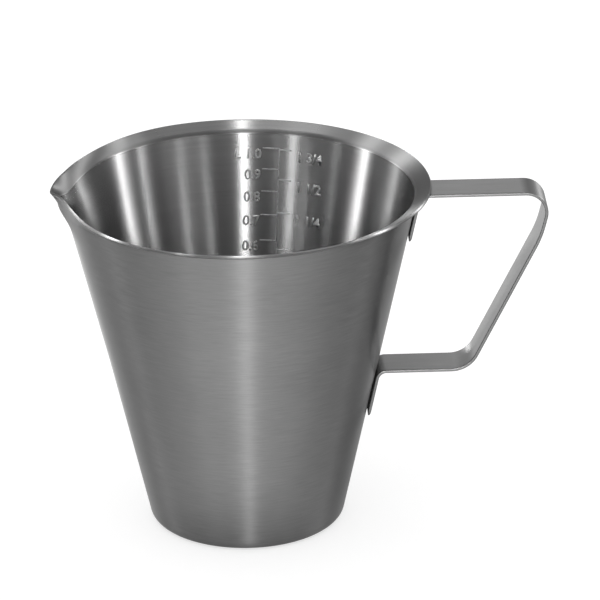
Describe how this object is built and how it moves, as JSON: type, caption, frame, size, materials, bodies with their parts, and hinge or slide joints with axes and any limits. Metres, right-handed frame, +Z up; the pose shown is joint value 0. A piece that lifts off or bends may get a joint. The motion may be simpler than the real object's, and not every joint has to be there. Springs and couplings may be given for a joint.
{
  "type": "measuring jug",
  "caption": "Tapered steel measuring jug with a flared rim, a pressed pouring lip, a stamped scale inside and a welded strap handle.",
  "frame": {"origin": "middle of the flat underside, on the surface that the jug stands on", "axes": "+Z up along the jug's axis, +X towards the handle, -X towards the pouring lip"},
  "size_m": [0.1871, 0.1428, 0.1369],
  "materials": {
    "shell_steel": "satin, brushed round the wall",
    "strap_steel": "fine satin, brushed along the strap",
    "weld_steel": "dull, fused"
  },
  "bodies": {
    "root": {"body_shell": "shell_steel", "handle_strap": "strap_steel", "upper_spot_welds": "weld_steel", "lower_spot_welds": "weld_steel"}
  },
  "joints": []
}
